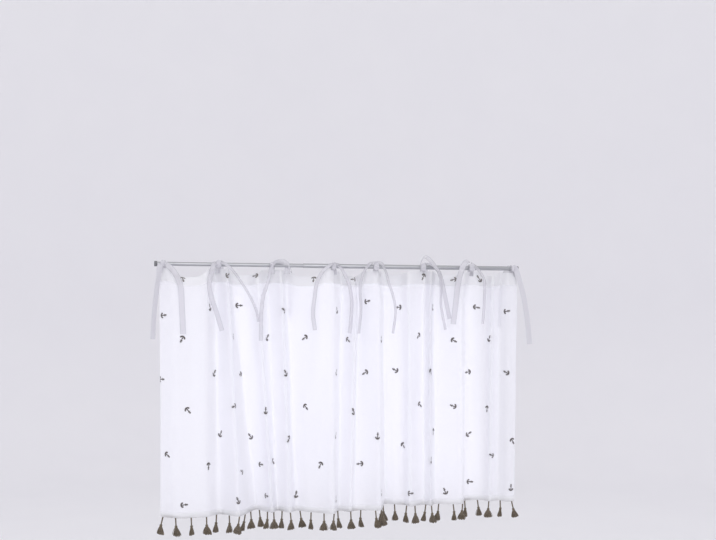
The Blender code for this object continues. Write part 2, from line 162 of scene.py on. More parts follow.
def joinAll(objects, name):
    pick(objects)
    bpy.ops.object.join()
    objects[0].name = name
    return objects[0]


def settle(obj, smoothAngle):
    # puts the object's place into its mesh and shades it
    pick([obj])
    bpy.ops.object.transform_apply(location=True, rotation=True, scale=True)
    bpy.ops.object.shade_smooth_by_angle(angle=math.radians(smoothAngle))


def gridSheet(name, points, size):
    # an open sheet through points[row][column], with its UV map in metres
    rows, columns = points.shape[:2]
    obj = addObject(
        bpy.ops.mesh.primitive_grid_add,
        name,
        x_subdivisions=columns - 1,
        y_subdivisions=rows - 1,
        size=1,
    )
    writePoints(obj.data, points)
    layer = obj.data.uv_layers[0]
    uv = np.empty(len(layer.data) * 2, np.float32)
    layer.data.foreach_get("uv", uv)
    across, up = (uv.reshape(-1, 2) * np.array(size, np.float32)).T
    writeMap(layer, across, up)
    return obj


def thicken(obj, thickness, group="", thin=0.0):
    solidify = obj.modifiers.new("thickness", "SOLIDIFY")
    solidify.thickness = thickness
    solidify.offset = 0
    if group:
        solidify.vertex_group = group
        solidify.thickness_vertex_group = thin
    applyModifiers(obj)


# camera and studio

camera = {
    "place": (-0.028, -2.608, -0.183),
    "turn": 11.4,  # degrees to the right
    "lens": 53.8,
    "pictureWidth": 716,
    "horizonRow": 340,  # the level line's row in a picture 540 high
    "middleRow": 270,
}

studio = {
    "floorHeight": -1.15,
    "floorRadius": 4.6,
    "bendRadius": 1.2,
    "wallHeight": 2.6,
    "bendSteps": 10,
    "paper": "#F2F1F4",
    "paperMottle": "#EFEEF2",
    "air": "#F8F8FA",
    "airStrength": 0.97,
    "glowPower": 0.54,
    "glowSize": (0.80, 0.59),
    "glowPlace": (0.455, 0.11, -0.29),
    "glowColour": "#F8F7FF",
    "fillPower": 44.0,
    "fillPlace": (0.0, -3.6, 0.9),
    "fillAim": (0.45, 0, -0.3),
    "fillSize": 3.2,
}


def makeCamera():
    view = addObject(bpy.ops.object.camera_add, "camera", location=camera["place"])
    view.rotation_euler = (math.radians(90), 0, math.radians(-camera["turn"]))
    view.data.lens = camera["lens"]
    view.data.sensor_width = 36
    view.data.shift_y = (camera["horizonRow"] - camera["middleRow"]) / camera["pictureWidth"]
    bpy.context.scene.camera = view


def makeStage():
    # a round floor that bends up into a wall on all sides
    middle = (cadBox[0].x + cadBox[1].x) / 2
    floor = addObject(
        bpy.ops.mesh.primitive_circle_add,
        "studioPaper",
        vertices=96,
        radius=studio["floorRadius"],
        fill_type="NGON",
        location=(middle, 0, studio["floorHeight"]),
    )
    bpy.ops.object.mode_set(mode="EDIT")
    bpy.ops.mesh.select_all(action="SELECT")
    bpy.ops.mesh.region_to_loop()
    reach, height = studio["floorRadius"], 0.0
    for step in range(1, studio["bendSteps"] + 2):
        angle = math.radians(90) * min(step / studio["bendSteps"], 1)
        nextReach = studio["floorRadius"] + studio["bendRadius"] * math.sin(angle)
        nextHeight = studio["bendRadius"] * (1 - math.cos(angle))
        if step > studio["bendSteps"]:
            nextHeight = height + studio["wallHeight"]
        bpy.ops.mesh.extrude_region_move(
            TRANSFORM_OT_translate={"value": (0, 0, nextHeight - height)}
        )
        grow = nextReach / reach
        bpy.ops.transform.resize(value=(grow, grow, 1), center_override=(middle, 0, 0))
        reach, height = nextReach, nextHeight
    bpy.ops.object.mode_set(mode="OBJECT")
    settle(floor, 60)

    # background paper: matt, a faint mottle of its fibres
    material, add = newMaterial("studio paper")
    place = add("TexCoord").outputs["Object"]
    mottle = add("TexNoise", {"Vector": place, "Scale": 3.0, "Detail": 2.0})
    tone = add("ValToRGB", {"Fac": mottle})
    tone.color_ramp.elements[0].color = toLinear(studio["paperMottle"])
    tone.color_ramp.elements[1].color = toLinear(studio["paper"])
    paper = add("BsdfPrincipled", {"Base Color": tone, "Roughness": 0.95})
    add("OutputMaterial", [paper])
    dress(floor, material)


def areaLight(name, place, power):
    light = addObject(bpy.ops.object.light_add, name, type="AREA", location=place)
    light.data.energy = power
    light.visible_camera = False
    return light


def makeLights():
    glow = areaLight("glowBehindCloth", studio["glowPlace"], studio["glowPower"])
    glow.rotation_euler = (math.radians(-90), 0, 0)
    glow.data.shape = "RECTANGLE"
    glow.data.size, glow.data.size_y = studio["glowSize"]
    glow.data.color = toLinear(studio["glowColour"])[:3]
    glow.visible_glossy = False
    fill = areaLight("softFill", studio["fillPlace"], studio["fillPower"])
    aim = Vector(studio["fillAim"]) - Vector(studio["fillPlace"])
    fill.rotation_euler = aim.to_track_quat("-Z", "Y").to_euler()
    fill.data.size = studio["fillSize"]

    world = bpy.data.worlds.new("studioAir")
    world.use_nodes = True
    background = world.node_tree.nodes["Background"]
    background.inputs["Color"].default_value = toLinear(studio["air"])
    background.inputs["Strength"].default_value = studio["airStrength"]
    bpy.context.scene.world = world
    bpy.context.scene.view_settings.view_transform = "Standard"


makeCamera()
makeStage()
makeLights()
print("camera and studio made")


# cloth

cloth = {
    "flatWidth": 140 * cm,
    "topBelowRod": 1.1 * cm,
    "hemBelowRodLeft": 60.6 * cm,
    "hemBelowRodRight": 59.7 * cm,
    "heading": 3.2 * cm,
    "hem": 1.2 * cm,
    "foldRounding": 1.0 * cm,
    "tiePullDepth": 9 * cm,
    "nodDepth": 2.0 * cm,
    "nodShare": 0.4,
    "linePoints": 1400,
    "columns": 400,
    "rows": 104,
    "thickness": 0.5 * mm,
    "doubledThickness": 1.1 * mm,
    "white": "#FDFDFF",
    "slub": "#F4F4F8",
    # the doubled bands' tone, greyer as painted shade
    "doubled": "#F4F4F6",
    "print": "#85807E",
    "threadPitch": 1.4 * mm,  # 0.35 mm in the real cloth, drawn four times as coarse to show
    "stitchPitch": 3.0 * mm,
    "stitchShare": 0.72,
    "stitchInset": 1.2 * mm,
    "stitchHalfWidth": 0.35 * mm,
    "anchorSize": 17.0 * mm,
    # how much of the light behind it comes through its threads, and how open its weave is
    "lightThrough": 0.68,
    "lightThroughDoubled": 0.42,
    "gaps": 0.22,
    "gapsClosed": 0.02,
}

# printed anchors: across and down along the flat cloth in centimetres, and where the ring
# points, in degrees anticlockwise from the right
anchors = [
    (6.5, 1.2, 280), (21.5, 1.5, 30), (33.5, 0.7, 175), (55.8, 1.2, 260), (71.0, 1.2, 180),
    (84.3, 1.0, 140), (101.5, 1.3, 245), (114.5, 1.5, 190), (126.0, 1.4, 140),
    (1.2, 11.3, 5), (13.7, 9.4, 110), (28.4, 8.3, 0), (45.0, 10.0, 150), (63.0, 10.0, 110),
    (78.0, 7.7, 10), (92.0, 8.8, 180), (109.0, 9.0, 75), (126.0, 8.8, 0), (137.0, 10.0, 8),
    (6.2, 16.4, 245), (24.0, 16.2, 315), (39.2, 16.7, 60), (53.5, 16.3, 215), (69.0, 17.0, 330),
    (83.2, 17.2, 90), (100.5, 16.3, 225), (115.6, 17.3, 330), (130.3, 16.8, 65),
    (0.4, 26.6, 0), (15.8, 25.3, 55), (28.6, 25.4, 190), (46.2, 25.4, 120), (63.8, 25.3, 60),
    (77.0, 25.4, 205), (92.0, 24.9, 155), (107.0, 25.5, 300), (124.3, 25.8, 190),
    (137.2, 25.9, 155),
    (7.5, 33.6, 310), (22.5, 33.0, 200), (37.6, 34.6, 90), (54.5, 33.5, 315), (71.8, 34.8, 115),
    (86.0, 33.5, 20), (102.3, 33.9, 320), (116.0, 34.2, 160), (130.0, 35.2, 265),
    (2.2, 44.6, 325), (17.3, 40.0, 60), (32.0, 41.0, 130), (48.0, 41.5, 240), (64.4, 40.8, 60),
    (80.0, 41.2, 85), (95.6, 44.2, 315), (110.2, 40.8, 265), (125.0, 42.0, 35),
    (139.2, 43.8, 300),
    (12.5, 47.4, 265), (25.0, 49.0, 150), (35.5, 48.0, 0), (42.0, 47.3, 315), (59.2, 47.7, 245),
    (75.4, 48.0, 185), (108.6, 48.0, 90), (132.5, 47.4, 160),
    (6.4, 56.4, 5), (22.7, 55.7, 115), (38.0, 55.6, 0), (52.0, 55.5, 80), (65.2, 56.3, 90),
    (82.6, 55.4, 90), (99.8, 56.2, 0), (114.7, 56.2, 115), (125.8, 54.6, 355), (139.0, 56.0, 90),
]

# fold crests, left to right, in centimetres: across under the heading, depth there,
# across at the hem, depth there
folds = [
    (1.2, 0.0, 1.5, -0.4), (4.4, -3.1, 4.6, -3.2), (8.4, -2.6, 8.6, -3.5),
    (12.4, -3.1, 12.6, -3.3), (14.5, 2.2, 15.5, 0.5), (17.5, -2.9, 19.9, -5.5),
    (18.2, 3.1, 25.0, 5.3), (22.4, 2.2, 26.6, 2.3), (24.7, -1.9, 28.2, -1.9),
    (27.2, 2.9, 29.9, 2.7), (30.6, -2.6, 32.4, -3.0), (31.8, 2.6, 34.4, 0.8),
    (35.2, 0.0, 36.6, -2.5), (39.2, -3.4, 39.2, -4.9), (43.1, -3.4, 42.3, -7.6),
    (46.1, 2.6, 44.5, -1.6), (49.0, -3.1, 47.3, -5.3), (50.2, 2.2, 48.0, -2.6),
    (51.9, -1.9, 51.2, -3.0), (55.0, -3.1, 54.4, -5.7), (56.8, 3.6, 57.8, 6.0),
    (59.3, 2.6, 59.8, 3.3), (61.3, 1.2, 62.0, 2.7), (61.9, -2.9, 62.8, -1.5),
    (67.1, 2.2, 67.4, 2.4), (67.6, -2.9, 68.0, -2.2), (69.6, 2.2, 70.1, 2.2),
    (72.7, 0.7, 72.6, 0.4), (75.9, -3.1, 76.7, -0.7), (78.2, 3.1, 79.0, 5.1),
    (81.2, 2.6, 81.9, 5.4), (83.5, 1.2, 84.1, 4.8), (84.0, -2.2, 84.4, 1.6),
    (87.4, 1.9, 87.6, 3.9), (88.8, -1.1, 88.9, 0.5), (91.4, 0.0, 91.0, 1.3),
]

# ties, left to right, in centimetres: across, the two places between which they hold the cloth's
# top edge level, its dip before the next tie, half the distance between a tie's two strands, then
# the knot: its place across from the tie and up from the rod, half its width and half its height
ties = [
    (2.0, 0.0, 4.0, 2.2, 0.25, 0.0, 0.1, 0.70, 0.80),
    (15.7, 12.8, 17.6, 1.3, 0.25, -0.45, 0.15, 0.80, 0.95),
    (30.2, 25.9, 33.0, 1.5, 1.90, -2.0, 0.1, 0.45, 0.70),
    (43.6, 41.2, 45.7, 1.3, 0.20, 0.0, -0.05, 0.65, 0.95),
    (54.2, 51.4, 56.9, 0.7, 0.25, 0.1, 0.0, 0.80, 1.00),
    (67.0, 62.6, 68.8, 0.9, 0.25, -0.65, 0.0, 0.75, 1.00),
    (78.6, 76.3, 81.1, 1.0, 0.25, 0.5, 0.1, 0.85, 1.00),
    (89.9, 86.5, 92.0, 0.0, 0.20, 0.1, 0.0, 0.50, 0.80),
]

# soft creases in the cloth: across and down at the start, across and down at the end, in
# centimetres along the flat cloth, then width in centimetres and depth in millimetres
creases = [
    (12.0, 6.0, 19.0, 30.0, 1.6, 1.2),
    (31.0, 4.0, 27.0, 22.0, 1.2, -1.0),
    (58.0, 8.0, 63.0, 34.0, 1.8, 1.3),
    (62.0, 20.0, 57.0, 52.0, 1.4, -1.0),
    (80.0, 5.0, 84.0, 26.0, 1.2, 1.0),
    (98.0, 10.0, 94.0, 40.0, 1.8, 1.1),
    (113.0, 4.0, 118.0, 24.0, 1.3, -1.0),
    (128.0, 20.0, 121.0, 50.0, 2.2, 1.6),
    (134.0, 6.0, 131.0, 30.0, 1.5, -1.1),
    (44.0, 12.0, 47.0, 46.0, 1.6, 0.9),
]


def evenSteps(across, depth, count):
    run = np.concatenate([[0], np.cumsum(np.hypot(np.diff(across), np.diff(depth)))])
    steps = np.linspace(0, run[-1], count)
    return np.interp(steps, run, across), np.interp(steps, run, depth), run[-1]


def roundOff(values, spread):
    # softens a line's corners and keeps its two ends where they are
    reach = int(4 * spread)
    weights = np.exp(-0.5 * (np.arange(-reach, reach + 1) / spread) ** 2)
    before = 2 * values[0] - values[reach:0:-1]
    after = 2 * values[-1] - values[-2 : -reach - 2 : -1]
    padded = np.concatenate([before, values, after])
    return np.convolve(padded, weights / weights.sum(), "valid")


def foldLine(height):
    # the cloth cut level at one height, 0 at its top edge and 1 at its hem, as places across
    # and in depth at even distances along the cloth
    table = np.array(folds) * cm
    across = table[:, 0] + (table[:, 2] - table[:, 0]) * height
    depth = table[:, 1] + (table[:, 3] - table[:, 1]) * height
    count = cloth["linePoints"]
    shallow, deep = 0.3, 3.0
    while deep - shallow > 0.0005:  # the depth that takes up the whole flat width
        gain = (shallow + deep) / 2
        x, y, length = evenSteps(across, depth * gain, count)
        spread = cloth["foldRounding"] / (length / (count - 1))
        x, y, length = evenSteps(roundOff(x, spread), roundOff(y, spread), count)
        if length < cloth["flatWidth"]:
            shallow = gain
        else:
            deep = gain
    reach = cloth["tiePullDepth"] / cloth["hemBelowRodLeft"]
    if height < reach:  # under each tie the cloth's top comes in line with the rod
        places = [tie[0] * cm for tie in ties]
        atTies = np.interp(places, x, y)
        share = 0.5 + 0.5 * math.cos(math.pi * height / reach)
        y = y - share * np.interp(x, places, atTies)
    return x, y


def topDip(across):
    dip = np.zeros_like(across)
    for tie, after in zip(ties, ties[1:]):
        left, right = tie[2] * cm, after[1] * cm
        share = np.clip((across - left) / (right - left), 0, 1)
        dip += tie[3] * cm * (1 - np.abs(2 * share - 1) ** 3)
    return dip


def hemEdge(distance):
    share = distance / cloth["flatWidth"]
    rise = cloth["hemBelowRodLeft"] - cloth["hemBelowRodRight"]
    return -cloth["hemBelowRodLeft"] + rise * share


def clothLine(height, distances):
    x, y = foldLine(min(max(height, 0.0), 1.0))
    run = np.linspace(0, cloth["flatWidth"], cloth["linePoints"])
    x, y = np.interp(distances, run, x), np.interp(distances, run, y)
    # between ties the heading dips and nods backwards, and the cloth below it follows less
    below = height * cloth["hemBelowRodLeft"]
    nod = math.exp(-below / cloth["nodDepth"])
    dip = topDip(x) * (1 - height)
    y = y + cloth["nodShare"] * dip * nod
    dip = dip * (cloth["nodShare"] + (1 - cloth["nodShare"]) * nod)
    hem = hemEdge(distances)
    level = -cloth["topBelowRod"] + (hem + cloth["topBelowRod"]) * height
    return np.stack([x, y, level - dip], axis=1)


def clothRows():
    drop = cloth["hemBelowRodLeft"] - cloth["topBelowRod"]
    heights = np.linspace(0, 1, cloth["rows"])
    step = 1.5 * mm / drop
    heading, hem = cloth["heading"] / drop, 1 - cloth["hem"] / drop
    extra = [heading - step, heading, heading + step, hem - step, hem, hem + step]
    heights = [h for h in heights if min(abs(h - e) for e in extra) > 2 * step]
    return np.array(sorted([*heights, *extra])), drop


def faceNormals(points):
    along = np.gradient(points, axis=1)
    down = np.gradient(points, axis=0)
    normals = np.cross(along, down)
    return normals / np.linalg.norm(normals, axis=2, keepdims=True)


def addCreases(points, distances, downs):
    # what a soft thin cloth adds to its main folds, pushed out along its own normals
    across, down = np.meshgrid(distances, downs)
    loose = np.clip((down - cloth["heading"]) / (8 * cm), 0, 1)
    push = 0.8 * mm * loose * np.sin(across / (2.1 * cm) + 2.0 * np.sin(down / (17 * cm)))
    push += 0.6 * mm * loose * np.sin(across / (1.15 * cm) - 1.4 * np.sin(down / (11 * cm) + 1))
    push += 0.5 * mm * loose * np.sin(down / (4.3 * cm) + 3.1 * np.sin(across / (8 * cm)))
    for startAcross, startDown, endAcross, endDown, width, depth in creases:
        start = np.array([startAcross, startDown]) * cm
        run = np.array([endAcross, endDown]) * cm - start
        offset = np.stack([across, down], axis=2) - start
        share = np.clip(offset @ run / (run @ run), 0, 1)
        away = np.linalg.norm(offset - share[..., None] * run, axis=2)
        fade = np.sin(math.pi * np.clip(share, 0.02, 0.98)) ** 0.7
        push += depth * mm * fade * np.exp(-((away / (width * cm)) ** 2))
    topLine = points[0]
    for number, tie in enumerate(ties):  # small gathers fan out under each tie
        place = distances[np.argmin(np.abs(topLine[:, 0] - tie[0] * cm))]
        side, under = across - place, down + 1.5 * cm
        angle = np.arctan2(side, under)
        radius = np.hypot(side, under)
        strength = np.exp(-((radius / (6.5 * cm)) ** 2)) * np.clip(down / (2 * cm), 0, 1)
        push += 1.5 * mm * strength * np.cos(9 * angle + number)
    seam = np.exp(-((down - cloth["heading"]) / (4 * mm)) ** 2)
    seam += np.exp(-((downs[-1] - down - cloth["hem"]) / (4 * mm)) ** 2)
    pucker = np.sin(across / (1.7 * mm)) * np.sin(across / (6.1 * mm))
    push += 0.16 * mm * seam * pucker
    return points + faceNormals(points) * push[..., None]


def placeAnchors(layer, across, down):
    # each face's map is turned and centred on its nearest anchor, whose length is 1
    corners = np.stack([across, -down], axis=1)
    middles = corners.reshape(-1, 4, 2).mean(axis=1)
    table = np.array(anchors)
    spots = table[:, :2] * (cm, -cm)
    nearest = np.linalg.norm(middles[:, None] - spots[None], axis=2).argmin(axis=1)
    nearest = np.repeat(nearest, 4)
    offset = (corners - spots[nearest]) / cloth["anchorSize"]
    ahead = np.radians(table[nearest, 2])
    side = offset[:, 0] * np.sin(ahead) - offset[:, 1] * np.cos(ahead)
    along = offset[:, 0] * np.cos(ahead) + offset[:, 1] * np.sin(ahead)
    writeMap(layer, side, along)


def makeCloth():
    heights, drop = clothRows()
    distances = np.linspace(0, cloth["flatWidth"], cloth["columns"])
    points = np.stack([clothLine(height, distances) for height in heights])
    points = addCreases(points, distances, heights * drop)
    sheet = gridSheet("curtainCloth", points[::-1], (cloth["flatWidth"], drop))
    # the grid's own map is even, so the rows' real heights are written over it
    layer = sheet.data.uv_layers[0]
    corners = np.empty(len(layer.data), np.int32)
    sheet.data.loops.foreach_get("vertex_index", corners)
    up = ((1 - heights[::-1]) * drop)[corners // cloth["columns"]]
    across = distances[corners % cloth["columns"]]
    writeMap(layer, across, up)
    placeAnchors(sheet.data.uv_layers.new(name="anchors"), across, drop - up)
    doubled = sheet.vertex_groups.new(name="doubled")
    downs = (heights * drop)[::-1]
    inBand = (downs < cloth["heading"] + 0.1 * mm) | (downs > drop - cloth["hem"] - 0.1 * mm)
    rows = np.flatnonzero(inBand)
    members = (rows[:, None] * cloth["columns"] + np.arange(cloth["columns"])).ravel()
    doubled.add(members.tolist(), 1.0, "ADD")
    thin = cloth["thickness"] / cloth["doubledThickness"]
    thicken(sheet, cloth["doubledThickness"], "doubled", thin)
    settle(sheet, 60)
    return sheet, points, drop


def anchorMark(add):
    # 1 on a printed anchor, whose middle is its map's origin and whose length is 1
    spot = add("UVMap", uv_map="anchors")
    parts = add("SeparateXYZ", [spot])
    side, along = parts.outputs["X"], parts.outputs["Y"]
    marks = []
    # shank and stock: middle along, half width, half length
    for middle, halfWidth, halfLength in ((0.0, 0.07, 0.42), (0.24, 0.17, 0.06)):
        inWidth = add("Math", (side, 0.0, halfWidth), operation="COMPARE")
        inLength = add("Math", (along, middle, halfLength), operation="COMPARE")
        marks.append(add("Math", (inWidth, inLength), operation="MULTIPLY"))
    # ring, arms and two flukes: middle, radius, half width, and the height under which they show
    rounds = [
        ((0, 0.44, 0), 0.075, 0.05, 1.0),
        ((0, -0.08, 0), 0.32, 0.10, -0.16),
        ((-0.28, -0.2, 0), 0, 0.12, 1.0),
        ((0.28, -0.2, 0), 0, 0.12, 1.0),
    ]
    for middle, radius, half, below in rounds:
        away = add("VectorMath", (spot, middle), operation="DISTANCE").outputs["Value"]
        ring = add("Math", (away, radius, half), operation="COMPARE")
        under = add("Math", (along, below), operation="LESS_THAN")
        marks.append(add("Math", (ring, under), operation="MULTIPLY"))
    mark = marks[0]
    for other in marks[1:]:
        mark = add("Math", (mark, other), operation="MAXIMUM")
    return mark


def clothMaterial(drop):
    # cotton batiste, plain woven and bleached: soft, matt, lets much of the light behind it
    # through, less where the heading and the hem lie double, and these bands are painted greyer as
    # shade
    material, add = newMaterial("cotton batiste, woven and printed")
    uv = add("UVMap", uv_map="UVMap")
    parts = add("SeparateXYZ", [uv])
    across, up = parts.outputs["X"], parts.outputs["Y"]
    down = add("Math", (drop, up), operation="SUBTRACT")

    # heading and hem, each with a row of stitches
    bands, seams = [], []
    for edge, inwards in (("heading", down), ("hem", up)):
        bands.append(add("Math", (inwards, cloth[edge]), operation="LESS_THAN"))
        seam = (inwards, cloth[edge] - cloth["stitchInset"], cloth["stitchHalfWidth"])
        seams.append(add("Math", seam, operation="COMPARE"))
    doubled = add("Math", bands, operation="MAXIMUM")
    seam = add("Math", seams, operation="MAXIMUM")
    beat = add("Math", (across, 1 / cloth["stitchPitch"]), operation="MULTIPLY")
    beat = add("Math", [beat], operation="FRACT")
    beat = add("Math", (beat, cloth["stitchShare"]), operation="LESS_THAN")
    stitch = add("Math", (seam, beat), operation="MULTIPLY")

    # plain weave, with slubs in both directions
    turn = 2 * math.pi / cloth["threadPitch"]
    waves, slubs = [], []
    for way, scale in ((across, (90, 1100, 1)), (up, (1100, 90, 1))):
        wave = add("Math", (way, turn), operation="MULTIPLY")
        waves.append(add("Math", [wave], operation="SINE"))
        place = add("Mapping", {"Vector": uv, "Scale": scale})
        slubs.append(add("TexNoise", {"Vector": place, "Scale": 1.0, "Detail": 1.0}))
    weave = add("Math", waves, operation="MULTIPLY")
    slub = add("Math", slubs, operation="MAXIMUM")
    relief = add("Math", (weave, 0.3, slub), operation="MULTIPLY_ADD")
    relief = add("Math", (stitch, 2.0, relief), operation="MULTIPLY_ADD")
    bump = add("Bump", {"Height": relief, "Strength": 0.35, "Distance": 0.15 * mm})

    # the white of the threads, then the doubled bands, painted greyer as shade, then the print
    # over both
    mark = anchorMark(add)
    colour = cloth["slub"]
    for factor, over in ((slub, "white"), (doubled, "doubled"), (mark, "print")):
        layer = add("Mix", {0: factor, 6: colour, 7: cloth[over]}, data_type="RGBA")
        colour = layer.outputs[2]
    denser = cloth["lightThroughDoubled"] - cloth["lightThrough"]
    share = add("Math", (doubled, denser, cloth["lightThrough"]), operation="MULTIPLY_ADD")
    closed = add("Math", (doubled, mark), operation="MAXIMUM")
    closing = cloth["gapsClosed"] - cloth["gaps"]
    gaps = add("Math", (closed, closing, cloth["gaps"]), operation="MULTIPLY_ADD")
    sheerCotton(add, colour, bump, share, gaps, 0.6)
    return material


curtain, clothPoints, clothDrop = makeCloth()
dress(curtain, clothMaterial(clothDrop), "cloth")
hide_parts("panel")
print("cloth made:", len(curtain.data.polygons), "faces")


# tapes

tape = {
    "width": 13.5 * mm,
    "thickness": 0.6 * mm,
    "rodRadius": 5.5 * mm,
    "rodGap": 0.4 * mm,
    "wideTubeFrom": 36 * cm,
    "knotOut": 9.5 * mm,
    "knotDepth": 3.4 * mm,
    "sewnBelowTop": 1.0 * cm,
    "clear": 6.0 * mm,  # from the cloth to a hanging end
    "columns": 9,
    "tailRows": 64,
    "strandRows": 40,
    "cup": 0.5 * mm,
    "gathered": 0.55,  # how narrow it is at the knot, as a share of its width
    "wrapped": 0.52,  # and how narrow where it goes round the knot
    "colour": "#F2F1F4",
    # painted shade along the tape's edges, at its selvedges
    "edgeShade": "#DCDCE0",
    # painted shade along the twill's ribs
    "twill": "#DADADE",
    # painted shade where the tape is gathered at a knot or hangs clear of the bright cloth
    "layeredAndShaded": "#D8D7DD",
    "ribPitch": 1.5 * mm,
    # how much of the light behind it comes through, at a knot too, and how open its weave is
    "lightThrough": 0.70,
    "lightThroughKnot": 0.12,
    "gaps": 0.32,
    "gapsSelvedge": 0.26,
}

# tape ends: tie number, side (-1 before the cloth, 1 behind it), how far it stands off the cloth
# in millimetres, how far it is turned about its length at its knot and at its cut end, in
# degrees, then its route across from the tie and up from the rod, in centimetres
tails = [
    (0, -1, 0, 60, -35, [(-0.3, 0.0), (-0.6, -0.5), (-1.0, -3.5), (-1.4, -6.4), (-2.0, -12.3),
        (-2.3, -18.1)]),
    (0, -1, 0, 50, 5, [(-0.1, 0.1), (1.0, -0.4), (2.7, -2.2), (4.0, -5.0), (4.4, -10.0),
        (4.7, -16.9)]),
    (1, -1, 0, 40, 42, [(-0.5, 0.5), (-1.4, 0.2), (-2.3, -2.0), (-2.8, -4.7), (-2.4, -7.9),
        (-1.1, -11.6), (0.2, -16.1)]),
    (1, -1, 0, -40, -60, [(-0.2, 0.7), (1.0, 0.2), (3.1, -1.8), (5.2, -4.5), (7.1, -7.6),
        (8.5, -10.8), (9.2, -13.9)]),
    (2, -1, 10, -95, 58, [(2.3, -1.2), (1.8, 0.2), (0.3, 0.9), (-1.2, 0.7), (-2.1, -0.4),
        (-3.2, -4.4), (-4.4, -7.9), (-4.9, -12.5), (-5.0, -18.5)]),
    (2, 1, -4.5, 20, 10, [(1.7, 0.5), (2.7, -1.1), (3.3, -4.1), (3.2, -7.9), (3.1, -12.4)]),
    (3, -1, 0, 60, 58, [(0.1, 0.9), (-0.8, 0.4), (-3.1, -1.6), (-4.5, -4.0), (-5.4, -8.1),
        (-5.8, -12.0), (-5.4, -15.9)]),
    (3, -1, 0, -55, -45, [(0.1, 0.9), (1.0, 0.3), (2.3, -1.4), (3.4, -4.0), (4.0, -7.7),
        (3.9, -11.4), (3.4, -16.7)]),
    (4, -1, 0, 54, 74, [(0.2, 1.2), (-1.4, 0.8), (-2.9, -0.9), (-3.8, -3.2), (-4.4, -5.9),
        (-4.4, -10.9), (-5.0, -16.7)]),
    (4, -1, 0, -36, -52, [(0.2, 1.2), (1.4, 0.7), (2.5, -1.2), (3.2, -3.8), (4.3, -7.1),
        (5.0, -11.1), (4.3, -16.7)]),
    (5, -1, 0, 72, 62, [(-1.2, -0.7), (-1.1, 1.4), (-0.2, 2.5), (1.0, 1.7), (2.4, -0.3),
        (3.6, -2.7), (4.9, -8.0), (5.9, -13.0)]),
    (5, -1, 7, -58, -50, [(-0.3, 1.1), (1.2, 0.7), (2.6, -0.8), (3.4, -3.0), (3.8, -6.0),
        (3.9, -9.7), (5.0, -15.7)]),
    (6, -1, 0, 60, 25, [(0.0, 1.4), (-0.7, 1.7), (-1.9, 0.8), (-3.8, -1.6), (-4.3, -4.6),
        (-4.5, -9.5), (-4.9, -14.3)]),
    (6, -1, 0, -42, -46, [(0.3, 1.4), (1.4, 0.3), (2.7, -1.2), (3.6, -3.1), (3.7, -6.1),
        (3.6, -10.2), (3.3, -14.2)]),
    (7, -1, 0, 45, 0, [(0.1, 0.6), (0.6, 0.1), (1.5, -2.2), (2.4, -5.3), (3.2, -8.8), (3.9, -13.2),
        (4.5, -19.3)]),
    (7, 1, -4.5, 30, 10, [(0.5, 0.7), (-0.5, 0.1), (-1.5, -1.8), (-2.5, -4.9), (-2.8, -9.5),
        (-2.8, -15.0)]),
]


def softPath(points, count):
    # a curve through the points that makes no cusp where they lie close together
    points = [2 * points[0] - points[1], *points, 2 * points[-1] - points[-2]]
    path = []
    for station in np.linspace(0, len(points) - 3, count):
        index = min(int(station), len(points) - 4)
        share = station - index
        before, start, end, after = points[index : index + 4]
        pairs = ((before, start), (start, end), (end, after))
        first, step, last = (math.sqrt((q - p).length) for p, q in pairs)
        leave = (start - before) / first - (end - before) / (first + step)
        arrive = (after - end) / last - (after - start) / (step + last)
        leave = leave * step + (end - start)
        arrive = arrive * step + (end - start)
        bend = 3 * (end - start) - 2 * leave - arrive
        swing = leave + arrive - 2 * (end - start)
        path.append(start + leave * share + bend * share**2 + swing * share**3)
    return path


def clothReach(across, up, side):
    # how far the cloth comes out near a place, towards one side
    row = int(np.argmin(np.abs(np.median(clothPoints[:, :, 2], axis=1) - up)))
    line = clothPoints[row]
    near = np.abs(line[:, 0] - across) <= tape["width"]
    return float((line[near, 1] * side).max()) if near.any() else 0.0


def ribbon(name, path, angles, widths, widthStart=None):
    # a strip of tape along the path, turned about it by the given angles, and folded along
    # its middle where it is narrower than its full width
    count = len(path)
    runs = [path[min(i + 1, count - 1)] - path[max(i - 1, 0)] for i in range(count)]
    length = sum((q - p).length for p, q in zip(path, path[1:]))
    rows = []
    for place, run, angle, share in zip(path, runs, angles, widths):
        run = run.normalized()
        flat = widthStart or Vector((0, 1, 0)).cross(run)
        flat = (flat - flat.dot(run) * run).normalized()
        flat = Matrix.Rotation(angle, 3, run) @ flat
        face = run.cross(flat)
        fold = tape["cup"] + 0.12 * tape["width"] * math.sqrt(max(0.0, 1 - share**2))
        rows.append(
            [
                place + flat * tape["width"] * share * side + face * fold * abs(2 * side) ** 1.4
                for side in np.linspace(-0.5, 0.5, tape["columns"])
            ]
        )
    strip = gridSheet(name, np.array(rows), (tape["width"], length))
    thicken(strip, tape["thickness"])
    return strip, length


def tailPath(tie, tail):
    _, side, off, _, _, places = tail
    route = [Vector(((tie[0] + across) * cm, 0, up * cm)) for across, up in places]
    path = softPath(route, tape["tailRows"])
    outs = []
    for point in path:
        out = tape["knotOut"]
        if point.z < -cloth["topBelowRod"]:
            out = max(out, clothReach(point.x, point.z, side) + tape["clear"] + off * mm)
        outs.append(out)
    outs = np.array(outs)
    for _ in range(60):  # a tape reaches over a fold in a soft line
        softer = outs.copy()
        softer[1:-1] = (outs[:-2] + outs[2:]) / 2
        outs = np.maximum(outs, softer)
    sway = np.sin(np.linspace(0, 5, len(path)) + tie[0]) * np.linspace(0, 1.2 * mm, len(path))
    for point, out, extra in zip(path, outs, sway):
        point.y = side * (out + abs(extra))
    return path


def markShadeAndDensity(obj):
    # tape that is gathered, or hangs clear of the bright cloth, is painted greyer as shade and
    # made denser
    layersAndShade = obj.data.attributes.new("layersAndShade", "FLOAT", "POINT")
    layersAndShade.data.foreach_set("value", [1.0] * len(obj.data.vertices))


